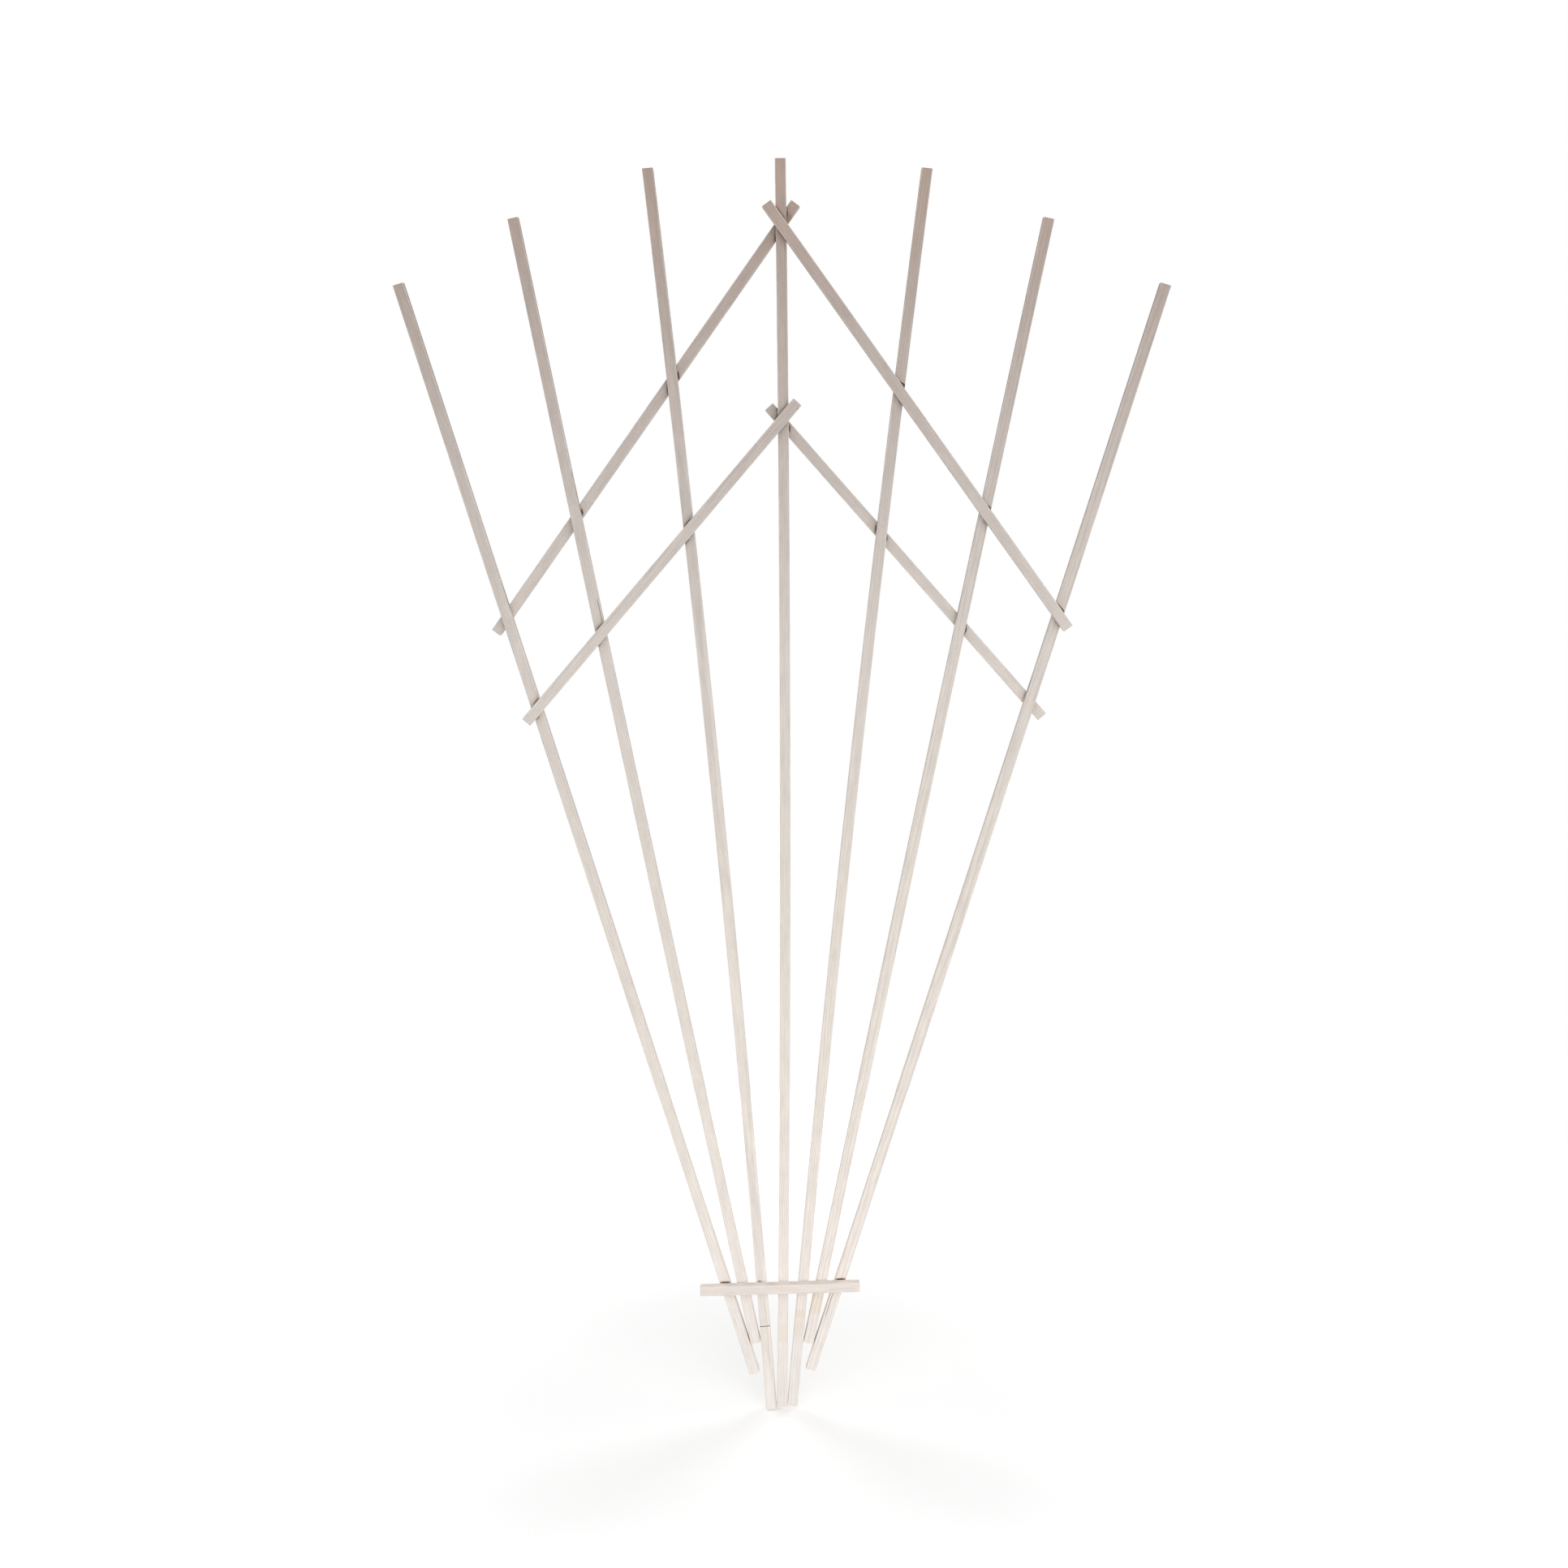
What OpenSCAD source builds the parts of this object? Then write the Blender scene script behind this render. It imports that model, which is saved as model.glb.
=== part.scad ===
// Espalier frame: a fan of seven square wooden battens that are packed side by side at the foot,
// held together by a foot bar and spread by two chevrons of braces. The foot bar and the braces
// lie flat on the uprights, in front or behind, and a wood screw driven from behind holds each
// crossing. X runs across the fan, +Z is up, the front faces -Y and the ground is at Z = 0.

/* [Fan] */
// Height of the centre upright's head above the ground
frame_h = 1800; // [1650:5:2000]
// How far the two inner heads end below the centre head
inner_head_drop = 13; // [5:1:40]
// How far the two second heads end below the centre head
second_head_drop = 79; // [50:1:120]
// How far the two outer heads end below the centre head
outer_head_drop = 167; // [120:1:220]
// Sideways reach of the inner heads from the middle of the fan
inner_reach = 190; // [150:1:230]
// Sideways reach of the second heads
second_reach = 366; // [310:1:430]
// Sideways reach of the outer heads
outer_reach = 526; // [470:1:600]

/* [Feet] */
// Height at which the second uprights end, beside their neighbours
second_lift = 105; // [85:1:130]
// Height at which the outer uprights end
outer_lift = 60; // [30:1:80]
// Least gap between uprights that are packed side by side at the foot
foot_gap = 0.4; // [0.3:0.1:3]

/* [Battens] */
// Width of an upright across the fan
upright_w = 15; // [12:0.5:18]
// Thickness of an upright from front to back
upright_t = 15; // [12:0.5:18]
// Width of a brace's face
brace_w = 15; // [12:0.5:18]
// Thickness of a brace from front to back
brace_t = 15; // [12:0.5:18]
// Height of the foot bar's face
foot_bar_w = 14; // [12:0.5:20]
// Thickness of the foot bar from front to back
foot_bar_t = 15; // [12:0.5:20]
// Radius of the eased long edges of every batten
arris_r = 1; // [0.3:0.1:3]

/* [Braces] */
// How far the upper chevron crosses the centre upright below its head
upper_apex_drop = 87; // [65:1:130]
// How far the upper chevron crosses the outer uprights below their heads
upper_tail_drop = 453; // [380:1:500]
// How far the lower chevron crosses the centre upright below its head
lower_apex_drop = 352; // [300:1:420]
// How far the lower chevron crosses the outer uprights below their heads
lower_tail_drop = 581; // [540:1:680]
// Length of an upper brace past the centre upright
upper_apex_overhang = 34; // [25:0.5:45]
// Length of a lower brace past the centre upright
lower_apex_overhang = 30; // [25:0.5:45]
// Length of a front brace past the outer upright
front_tail_overhang = 21.5; // [18:0.5:40]
// Length of a rear brace past the outer upright
rear_tail_overhang = 29.5; // [18:0.5:40]

/* [Foot bar] */
// Height of the foot bar's middle above the ground
foot_bar_h = 194; // [170:0.5:230]
// How much higher the bar crosses the right outer upright than the left one
foot_bar_rise = 5; // [0:0.5:10]
// Length of the foot bar past the left outer upright's centre line
foot_bar_left_overhang = 38; // [25:0.5:50]
// Length of the foot bar past the right outer upright's centre line
foot_bar_right_overhang = 30; // [25:0.5:50]

/* [Screws] */
// Length of the screw that joins two battens
screw_l = 25; // [22:0.5:27]
// Length of the screw through both braces of a chevron
apex_screw_l = 40; // [37:0.5:42]
// Diameter of the smooth shank
screw_d = 3; // [2.5:0.1:4]
// Diameter of the threaded part's core
screw_core_d = 2.1; // [1.6:0.1:2.4]
// Diameter of the countersunk head
screw_head_d = 6; // [5:0.1:8]
// Height of the head's straight rim
screw_rim = 0.3; // [0.1:0.05:0.6]
// Length of the smooth shank, from the top of the head
screw_shank_l = 11; // [8:0.5:14]
// Length of the point
screw_point_l = 4; // [2:0.5:6]
// Depth of a screw's head below the wood
screw_sink = 0.5; // [0.1:0.1:1]
// Radial clearance of a screw in its hole
screw_clearance = 0.2; // [0.05:0.05:0.3]
// Width across the cross recess in a screw's head
recess_span = 3.2; // [2:0.1:4]
// Width of one arm of the recess
recess_arm = 0.7; // [0.4:0.1:1]
// Depth of the recess
recess_depth = 1.2; // [0.5:0.1:1.5]

/* [Hidden] */
$fn = 48;
// Steps in a full turn of a sprung batten's very large circle
arc_steps = 4800;
// Length by which a cut runs out of the wood
overrun = 1;
WOOD = [0.83, 0.78, 0.73];
STEEL = [0.72, 0.72, 0.70];

UPRIGHTS = ["left_outer", "left_second", "left_inner", "centre", "right_inner", "right_second", "right_outer"];
BARS = ["upper_left_brace", "upper_right_brace", "lower_left_brace", "lower_right_brace", "foot_bar"];
LEVELS = ["upper", "lower", "foot"];
CENTRE = 3;
LAST = len(UPRIGHTS) - 1;
FOOT_BAR = len(BARS) - 1;
FOOT_LEVEL = len(LEVELS) - 1;

// Places of one pair each: centre, inner, second, outer
REACHES = [0, inner_reach, second_reach, outer_reach];
HEAD_DROPS = [0, inner_head_drop, second_head_drop, outer_head_drop];
LIFTS = [0, 0, second_lift, outer_lift];

// A hand-built frame isn't quite even. From left to right: how far each head stands to the right
// and how far each foot ends short, both as shares of an upright's width, and how far each
// upright is sprung to the right at mid-height, as a share of its own length
head_trim_shares = [0, -0.07, 0.48, -0.15, 0.5, -0.12, 0];
foot_trim_shares = [-0.15, 0, 0, 0.35, 0.45, 0, 0.2];
spring_shares = [0, -0.0014, 0.0052, 0.0032, -0.0056, -0.0012, 0.0004];
// From the upper left brace on: how far each crossing stands above the chevron's own height, at
// the centre upright and at the outer one, as shares of a brace's width
apex_trim_shares = [0.1, -0.1, 0.2, -0.17];
tail_trim_shares = [-0.14, 0, -0.35, 0.33];

// Which layer a bar lies in: 1 behind the uprights, -1 in front of them
LAYERS = [1, -1, -1, 1, -1];

// Points and directions in the plane of the fan are [x, z]

function pair(i) = abs(i - CENTRE);
function side(i) = sign(i - CENTRE);
function lean(v) = atan2(v[0], v[1]);
function unit(v) = v / norm(v);

// Where line p + a u meets line q + b v
function meet(p, u, q, v) = p + u * cross(q - p, v) / cross(u, v);

// The head's centre
function head(i) = [
    side(i) * REACHES[pair(i)] + head_trim_shares[i] * upright_w,
    frame_h - HEAD_DROPS[pair(i)]
];

// Spacing of an upright from the next one nearer the middle where they are packed: its width cut
// level at a little more than its own lean, and the gap
function pitch(i) = upright_w / cos(lean(head(i))) + foot_gap;

// Height of the foot above the ground
function lift(i) = LIFTS[pair(i)] + foot_trim_shares[i] * upright_w;

// The foot's centre, packed beside the next upright nearer the middle. The three middle feet
// stand on a corner, and an outer upright passes beside the second one's foot and runs on down
function foot(i) =
    pair(i) <= 1 ? [side(i) * pitch(i), lift(i) + corner_drop(i)] :
    pair(i) == 2 ? [across(i - side(i), lift(i)) + side(i) * pitch(i), lift(i)] :
    let (beside = foot(i - side(i)) + [side(i) * pitch(i), 0])
    meet(beside, head(i) - beside, [0, lift(i)], [1, 0]);

// How far the lower corner of a middle foot hangs below the foot's centre
function corner_drop(i) =
    let (chord = head(i) - [side(i) * pitch(i), lift(i)])
    upright_w / 2 * abs(sin(lean(chord) + atan(4 * spring_shares[i])));

// The upright's centre line at share s of its length: the chord, and the spring to the right
function spring(i) = spring_shares[i] * norm(head(i) - foot(i));
function on_upright(i, s) =
    let (chord = head(i) - foot(i), right = unit([chord[1], -chord[0]]))
    foot(i) + chord * s + right * 4 * spring(i) * s * (1 - s);

// Direction of that line at share s
function along_upright(i, s) =
    let (chord = head(i) - foot(i), right = unit([chord[1], -chord[0]]))
    unit(chord + right * 4 * spring(i) * (1 - 2 * s));

// The centre line at height z
function at_height(i, z) = on_upright(i, (z - foot(i)[1]) / (head(i)[1] - foot(i)[1]));
function across(i, z) = at_height(i, z)[0];

// The outer upright that a brace ends on, and the heights of its two crossings
function outer(bar) = bar % 2 == 0 ? 0 : LAST;
function is_upper(bar) = bar < 2;
function apex_h(bar) =
    head(CENTRE)[1] - (is_upper(bar) ? upper_apex_drop : lower_apex_drop)
    + apex_trim_shares[bar] * brace_w;
function tail_h(bar) =
    head(outer(bar))[1] - (is_upper(bar) ? upper_tail_drop : lower_tail_drop)
    + tail_trim_shares[bar] * brace_w;

// The crossings that place a bar, from its tail to its apex, or from the foot bar's left end on
function bar_start(bar) =
    bar == FOOT_BAR ? at_height(0, foot_bar_h - foot_bar_rise / 2) : at_height(outer(bar), tail_h(bar));
function bar_end(bar) =
    bar == FOOT_BAR ? at_height(LAST, foot_bar_h + foot_bar_rise / 2) : at_height(CENTRE, apex_h(bar));
function bar_way(bar) = unit(bar_end(bar) - bar_start(bar));

// How far a bar runs on past those crossings
function start_overhang(bar) =
    bar == FOOT_BAR ? foot_bar_left_overhang :
    LAYERS[bar] > 0 ? rear_tail_overhang : front_tail_overhang;
function end_overhang(bar) =
    bar == FOOT_BAR ? foot_bar_right_overhang :
    is_upper(bar) ? upper_apex_overhang : lower_apex_overhang;

// Where a bar crosses an upright: on the chord first, then on the tangent of the sprung line
function crossing(bar, i) =
    let (
        chord = head(i) - foot(i),
        rough = meet(foot(i), chord, bar_start(bar), bar_way(bar)),
        s = norm(rough - foot(i)) / norm(chord)
    )
    meet(on_upright(i, s), along_upright(i, s), bar_start(bar), bar_way(bar));

// The bars that a screw goes through at a level of an upright, and the uprights that a bar crosses
function bars_at(level, i) =
    level == FOOT_LEVEL ? [FOOT_BAR] :
    i == CENTRE ? [2 * level, 2 * level + 1] :
    [2 * level + (i > CENTRE ? 1 : 0)];
function uprights_on(bar) =
    bar == FOOT_BAR ? [0 : LAST] : outer(bar) == 0 ? [0 : CENTRE] : [CENTRE : LAST];
function level_of(bar) = floor(bar / 2);

// The screw's place in the fan, the wood face that its head sits in, and its length
function screw_place(level, i) =
    let (bars = bars_at(level, i))
    (crossing(bars[0], i) + crossing(bars[len(bars) - 1], i)) / 2;
function screw_face(level, i) =
    upright_t / 2 + (max([for (bar = bars_at(level, i)) LAYERS[bar]]) > 0 ? brace_t : 0);
function screw_length(level, i) = i == CENTRE && level != FOOT_LEVEL ? apex_screw_l : screw_l;

// Cross-section of a batten: two crossed rectangles with a quarter round at each edge
module section(w, t) {
    square([w, t - 2 * arris_r], center = true);
    square([w - 2 * arris_r, t], center = true);
    for (x = [-1, 1], y = [-1, 1])
        translate([x * (w / 2 - arris_r), y * (t / 2 - arris_r)])
            circle(r = arris_r);
}

// Batten along +Z from its foot at the origin. A sprung one is an arc through the same two ends,
// with its very large radius in whole millimetres
module batten(l, w, t, bulge = 0) {
    if (bulge == 0)
        linear_extrude(height = l) section(w, t);
    else {
        radius = round((l * l / 4 + bulge * bulge) / (2 * abs(bulge)));
        half_sweep = asin(l / 2 / radius);
        rise = radius * (1 - cos(half_sweep));
        translate([0, 0, l / 2])
            rotate([0, 0, bulge > 0 ? 0 : 180])
                translate([rise, 0, 0])
                    translate([-radius, 0, 0])
                        rotate([90, 0, 0])
                            rotate_extrude(angle = 2 * half_sweep, start = -half_sweep, $fn = arc_steps)
                                translate([radius, 0]) section(w, t);
    }
}

// Profile of a screw from its head at the origin down -Z, grown by a clearance. The head's top
// runs up by rise, and the thread is left as its core
module screw_profile(l, grow, rise) {
    shank_r = screw_d / 2 + grow;
    core_r = screw_core_d / 2 + grow;
    head_r = screw_head_d / 2 + grow;
    neck = -screw_rim - (head_r - shank_r);
    polygon([
        [0, rise],
        [head_r, rise],
        [head_r, -screw_rim],
        [shank_r, neck],
        [shank_r, -screw_shank_l],
        [core_r, -screw_shank_l - (shank_r - core_r)],
        [core_r, screw_point_l - l],
        [0, -l - grow]
    ]);
}

// Moves a form from its own axis to a screw's place, pointing forwards from its sunk head
module at_screw(level, i) {
    place = screw_place(level, i);
    translate([place[0], screw_face(level, i) - screw_sink, place[1]])
        rotate([-90, 0, 0]) children();
}

module screw_hole(level, i)
    at_screw(level, i)
        rotate_extrude()
            screw_profile(screw_length(level, i), screw_clearance, screw_sink + overrun);

module screw(level, i)
    color(STEEL)
        at_screw(level, i)
            difference() {
                rotate_extrude() screw_profile(screw_length(level, i), 0, 0);
                for (turn = [0, 90])
                    rotate([0, 0, turn])
                        translate([-recess_span / 2, -recess_arm / 2, -recess_depth])
                            cube([recess_span, recess_arm, recess_depth + overrun]);
            }

module upright(i) {
    chord = head(i) - foot(i);
    color(WOOD)
        difference() {
            translate([foot(i)[0], 0, foot(i)[1]])
                rotate([0, lean(chord), 0])
                    batten(norm(chord), upright_w, upright_t, spring(i));
            for (level = [0 : FOOT_LEVEL]) screw_hole(level, i);
        }
}

module bar(n) {
    w = n == FOOT_BAR ? foot_bar_w : brace_w;
    t = n == FOOT_BAR ? foot_bar_t : brace_t;
    way = bar_way(n);
    tail = bar_start(n) - way * start_overhang(n);
    tip = bar_end(n) + way * end_overhang(n);
    color(WOOD)
        difference() {
            translate([tail[0], LAYERS[n] * (upright_t + t) / 2, tail[1]])
                rotate([0, lean(way), 0])
                    batten(norm(tip - tail), w, t);
            for (i = uprights_on(n)) screw_hole(level_of(n), i);
        }
}

for (i = [0 : LAST])
    upright(i);
for (n = [0 : FOOT_BAR])
    bar(n);
for (level = [0 : FOOT_LEVEL], i = [0 : LAST])
    screw(level, i);
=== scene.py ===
"""An espalier frame: a fan of square wooden battens, put together from the uprights to the screws."""

import math

import bpy
import numpy as np
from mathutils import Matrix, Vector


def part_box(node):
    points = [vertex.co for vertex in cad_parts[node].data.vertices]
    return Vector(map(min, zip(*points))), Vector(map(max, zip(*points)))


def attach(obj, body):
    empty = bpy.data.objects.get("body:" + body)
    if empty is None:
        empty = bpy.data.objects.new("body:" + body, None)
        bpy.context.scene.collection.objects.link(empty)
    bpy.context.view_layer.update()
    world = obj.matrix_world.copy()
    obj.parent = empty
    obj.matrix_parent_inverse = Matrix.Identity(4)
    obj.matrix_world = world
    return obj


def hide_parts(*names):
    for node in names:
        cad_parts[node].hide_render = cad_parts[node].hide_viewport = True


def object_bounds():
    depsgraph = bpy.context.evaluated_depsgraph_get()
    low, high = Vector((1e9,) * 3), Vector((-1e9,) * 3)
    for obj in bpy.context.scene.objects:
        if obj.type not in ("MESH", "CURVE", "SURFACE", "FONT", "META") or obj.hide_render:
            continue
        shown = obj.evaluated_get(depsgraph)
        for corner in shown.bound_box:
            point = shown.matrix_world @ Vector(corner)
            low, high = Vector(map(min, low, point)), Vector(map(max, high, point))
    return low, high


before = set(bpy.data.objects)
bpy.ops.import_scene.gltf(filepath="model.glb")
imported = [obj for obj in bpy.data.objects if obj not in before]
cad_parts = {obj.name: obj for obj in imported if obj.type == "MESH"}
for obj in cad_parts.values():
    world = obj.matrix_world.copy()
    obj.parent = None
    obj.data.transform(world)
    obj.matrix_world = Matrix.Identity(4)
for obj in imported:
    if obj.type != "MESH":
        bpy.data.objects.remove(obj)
cad_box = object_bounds()


# The uprights
# Seven square battens of sawn softwood under a thin pale wash, packed side by side at the foot and
# sprung apart above it. Each is one length of timber, cut square, with softened long edges.
UPRIGHTS = [name for name in sorted(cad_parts) if name.endswith("_upright")]
BARS = [name for name in sorted(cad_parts) if name.endswith(("_brace", "_bar"))]
SCREWS = [name for name in sorted(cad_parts) if name.startswith("screw_")]
ARRIS = 0.0011            # mean radius of a softened long edge
END_SHARE = 0.02          # share of a batten at each end that is left out when its bow is measured
SCREW_CLEARANCE = 0.0002  # between a screw head and the side of its countersink
screw_boxes = [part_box(name) for name in SCREWS]
SCREW_AXES = np.array([[low.x + high.x, low.z + high.z] for low, high in screw_boxes]) / 2
HEAD_HOLE = (screw_boxes[0][1].x - screw_boxes[0][0].x) / 2 + SCREW_CLEARANCE


class BattenLine:
    """Centre line of a CAD batten: the chord between the middles of its sawn ends, and a bow to the
    right of it that is a parabola, fitted by least squares to the corners clear of the screws and
    the ends. A straight batten has no such corners, and so no bow."""

    def __init__(self, node):
        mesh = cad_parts[node].data
        corners = np.empty(len(mesh.vertices) * 3)
        mesh.vertices.foreach_get("co", corners)
        corners = corners.reshape(-1, 3)
        flat = corners[:, [0, 2]]
        front, self.back = corners[:, 1].min(), corners[:, 1].max()
        self.depth, self.middle = self.back - front, (self.back + front) / 2
        self.axis = np.linalg.svd(flat - flat.mean(0), full_matrices=False)[2][0]
        self.axis *= np.sign(self.axis.sum())
        for _ in range(2):  # the first axis only has to be good enough to find the ends
            right = np.array([self.axis[1], -self.axis[0]])
            along, aside = flat @ self.axis, flat @ right
            ends = [along < along.min() + ARRIS, along > along.max() - ARRIS]
            self.start, end = (
                self.axis * along[at].mean() + right * (aside[at].min() + aside[at].max()) / 2
                for at in ends
            )
            self.length = np.linalg.norm(end - self.start)
            self.axis = (end - self.start) / self.length
        self.right = np.array([self.axis[1], -self.axis[0]])
        self.width = np.ptp(aside[ends[0]])
        share = (flat - self.start) @ self.axis / self.length
        swell, aside = 4 * share * (1 - share), (flat - self.start) @ self.right
        clear = np.linalg.norm(flat[:, None] - SCREW_AXES, axis=-1).min(axis=1) > HEAD_HOLE + ARRIS
        clear &= (share > END_SHARE) & (share < 1 - END_SHARE)
        self.bow = aside[clear] @ swell[clear] / max(swell[clear] @ swell[clear], 1)

    def swell(self, along):
        """How far the line stands to the right of its chord."""
        share = along / self.length
        return 4 * self.bow * share * (1 - share)

    def place(self, along, aside, deep):
        """Points in space at distances along the line, to its right and behind its middle."""
        aside = aside + self.swell(along)
        flat = self.start + along[..., None] * self.axis + aside[..., None] * self.right
        return np.stack([flat[..., 0], self.middle + deep, flat[..., 1]], axis=-1)

    def measure(self, x, z):
        """Distances along the line and to its right of points in the plane of the fan."""
        gap = np.stack([x, z], axis=-1) - self.start
        along = gap @ self.axis
        return along, gap @ self.right - self.swell(along)


lines = {name: BattenLine(name) for name in UPRIGHTS + BARS}


def sunk_heads(line):
    """Screw heads in a batten's back: distance along, offset to the right, and depth under it."""
    along, aside = line.measure(*SCREW_AXES.T)
    sunk = line.back - np.array([high.y for _, high in screw_boxes])
    here = (along > 0) & (along < line.length) & (np.abs(aside) < line.width / 2)
    here &= (sunk > 0) & (sunk < HEAD_HOLE)
    return np.stack([along, aside, sunk], axis=-1)[here]


def soft_noise(rng, along, around, waves, longest, shortest):
    """Smooth noise from -1 to 1: a sum of waves with random phases, whose lengths along the batten
    run from longest to shortest and which go round it a few whole times."""
    total = np.zeros(np.broadcast(along, around).shape)
    for length in np.geomspace(longest, shortest, waves):
        turns, phase = rng.integers(-3, 4), rng.uniform(0, 2 * np.pi)
        total += np.sin(2 * np.pi * along / length + turns * around + phase)
    return total / waves


# Half the width of a split or a scored line at the surface, the columns on a flat face and in a
# rounded corner, and the columns and rows at a screw head, counted from its axis.
GROOVE_HALF_W = 0.0004
FACE_COLUMNS, CORNER_COLUMNS = 11, 6
HOLE_STEPS = HEAD_HOLE * np.array([0.27, 0.53, 0.75, 0.97, 1, 1.4, 1.8])
HOLE_STEPS = np.concatenate([-HOLE_STEPS[::-1], [0], HOLE_STEPS])


def section_columns(line, groove):
    """Columns of the square section, anticlockwise from the front left corner. Each has the share
    of the half width and half depth where its rounding is centred, and its outward direction. The
    front is closely divided at a groove, and the back at the screw heads."""
    flat = line.width / 2 - ARRIS
    even = np.linspace(-1, 1, FACE_COLUMNS)[1:-1]
    close = groove / flat + GROOVE_HALF_W / flat * np.array([-1, 0, 1])
    clear = np.abs(even - groove / flat) > 2 * GROOVE_HALF_W / flat
    front = np.sort(np.concatenate([even[clear], close]))
    back = HOLE_STEPS[::-1] / flat
    quarter = np.linspace(0, np.pi / 2, CORNER_COLUMNS)
    centres, ways = [], []
    for side, steps in enumerate([front, even, back, even[::-1]]):
        turn = np.pi + (side + np.array([0, 0.5, 1])) * np.pi / 2
        corner = np.sign([np.cos(turn[1]), np.sin(turn[1])])
        way = np.round([np.cos(turn[2]), np.sin(turn[2])])
        centres.append(np.tile(corner, (len(quarter), 1)))
        ways.append(np.stack([np.cos(turn[0] + quarter), np.sin(turn[0] + quarter)], axis=-1))
        centres.append(np.where(way != 0, way, steps[:, None]))
        ways.append(np.tile(way, (len(steps), 1)))
    return np.concatenate(centres), np.concatenate(ways)


END_EASE = 0.0007         # how far the edges of a sawn end are rubbed back
ROW_STEP = 0.0025         # spacing of the sections along a batten
EASE_ROWS, NICK_ROWS = 5, 13
END_RINGS = np.array([0.2, 0.45, 0.7, 0.88])  # rings on a sawn end, as shares of its half width


def section_rows(line, heads, scores, nicks):
    """Rows along a batten: distance along, the share to which the section is shrunk, and how far
    it is drawn in. A sawn end is rings that shrink to a pole, then the eased edge. Between the ends
    are even steps, with close rows at each screw head, scored line and nick."""
    turn = np.linspace(0, np.pi / 2, EASE_ROWS)
    body = np.arange(2 * END_EASE, line.length - 2 * END_EASE, ROW_STEP)
    closer = [along + HOLE_STEPS for along, *_ in heads]
    closer += [along + half_w * np.array([-1, 0, 1]) for along, _, half_w in scores]
    closer += [along + reach * np.linspace(-2, 2, NICK_ROWS) for along, _, _, reach in nicks]
    for rows in closer:
        keep = (body < rows[0] - ROW_STEP / 2) | (body > rows[-1] + ROW_STEP / 2)
        body = np.sort(np.concatenate([body[keep], rows]))
    at_end = np.zeros(len(END_RINGS))
    foot = np.concatenate([at_end, END_EASE * (1 - np.cos(turn))])
    ease = np.concatenate([at_end + END_EASE, END_EASE * (1 - np.sin(turn))])
    along = np.concatenate([foot, body, line.length - foot[::-1]])
    scale = np.concatenate([END_RINGS, np.ones(len(body) + 2 * len(turn)), END_RINGS[::-1]])
    drawn = np.concatenate([ease, np.zeros(len(body)), ease[::-1]])
    return along[:, None], scale[:, None], drawn[:, None]


def crossing_gap(name, points, ways):
    """Distance of each point, in the plane of the fan, from the edge of the nearest batten that
    lies on its face. It is below zero under that batten, and stops growing at the reach."""
    reach = 0.02
    line = lines[name]
    nearest = np.full(points.shape[:-1], reach)
    for bar in lines.values():
        layer = np.round((bar.middle - line.middle) / line.depth)
        if layer == 0:
            continue
        along, aside = bar.measure(points[..., 0], points[..., 2])
        past_end = np.maximum(-along, along - bar.length)
        gap = np.maximum(np.abs(aside) - bar.width / 2, past_end)
        nearest = np.where(ways[:, 1] * layer > 0.5, np.minimum(nearest, gap), nearest)
    return nearest


# Dirt that has gathered in the corners of a crossing, and painted contact shade there. Each patch is
# how far it is to the right of the crossing and above it, how far it reaches, and how much it is: a
# line is 1 or less, and more lies further out of the corner. A smear is a thin brown film, partly
# painted cast shadow, given the same way.
CROSSING_DIRT_AND_SHADE = {
    "upper_centre": [
        (-0.001, 0.016, 0.011, 0.9),
        (0.0085, 0.0155, 0.0035, 1),
        (-0.009, -0.02, 0.008, 0.8),
        (0.004, -0.012, 0.008, 0.35),
    ],
    "upper_left_inner": [(0.0085, 0.005, 0.006, 1.2), (-0.0085, -0.0145, 0.007, 0.9)],
    "upper_left_second": [(0.008, 0.007, 0.0048, 1.25)],
    "upper_right_inner": [(0.006, 0.009, 0.0058, 1.35), (0.001, -0.016, 0.006, 0.35)],
    "upper_right_second": [(0.0072, 0.0072, 0.0045, 1.12), (-0.001, -0.0145, 0.0045, 0.35)],
    "upper_right_outer": [
        (0.001, 0.0115, 0.006, 0.9),
        (0.0055, 0.0085, 0.0055, 1.3),
        (-0.004, -0.014, 0.007, 0.35),
    ],
    "lower_centre": [
        (-0.009, 0.018, 0.005, 0.75),
        (-0.0085, 0.006, 0.004, 0.75),
        (0, 0.0155, 0.01, 0.4),
        (0.01, -0.01, 0.005, 1),
    ],
    "lower_left_inner": [(-0.0015, 0.0105, 0.008, 0.75), (-0.001, -0.017, 0.005, 0.6)],
    "lower_left_second": [(-0.0015, 0.01, 0.007, 0.7), (-0.0015, -0.016, 0.0045, 0.5)],
    "lower_left_outer": [(-0.002, 0.013, 0.007, 0.7), (0.002, -0.013, 0.004, 0.5)],
    "lower_right_inner": [(-0.0075, 0.0075, 0.006, 0.85), (0.009, -0.006, 0.004, 0.9)],
    "lower_right_second": [(0.009, -0.0085, 0.008, 1.3)],
    "lower_right_outer": [(-0.0055, 0.008, 0.006, 0.3)],
    "foot_left_outer": [(-0.001, 0.0085, 0.009, 1)],
    "foot_left_inner": [(-0.003, 0.0085, 0.003, 0.8)],
    "foot_right_outer": [(0.002, 0.0085, 0.008, 1)],
}
CROSSING_SMEARS_AND_SHADOWS = {"upper_centre": [(0.0114, 0.0085, 0.0065, 0.65)]}


def dirt_and_shade_patches(points, table):
    """How much dirt and painted shade lies at each point: the greatest of the soft round patches at
    the crossings.
    Each is its amount times the exponential of minus the fourth power of distance over reach."""
    dirt = np.zeros(points.shape[:-1])
    for name, patches in table.items():
        x, z = SCREW_AXES[SCREWS.index("screw_" + name)]
        for right, up, reach, amount in patches:
            away = np.hypot(points[..., 0] - x - right, points[..., 2] - z - up)
            dirt = np.maximum(dirt, amount * np.exp(-((away / reach) ** 4)))
    return dirt


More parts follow.
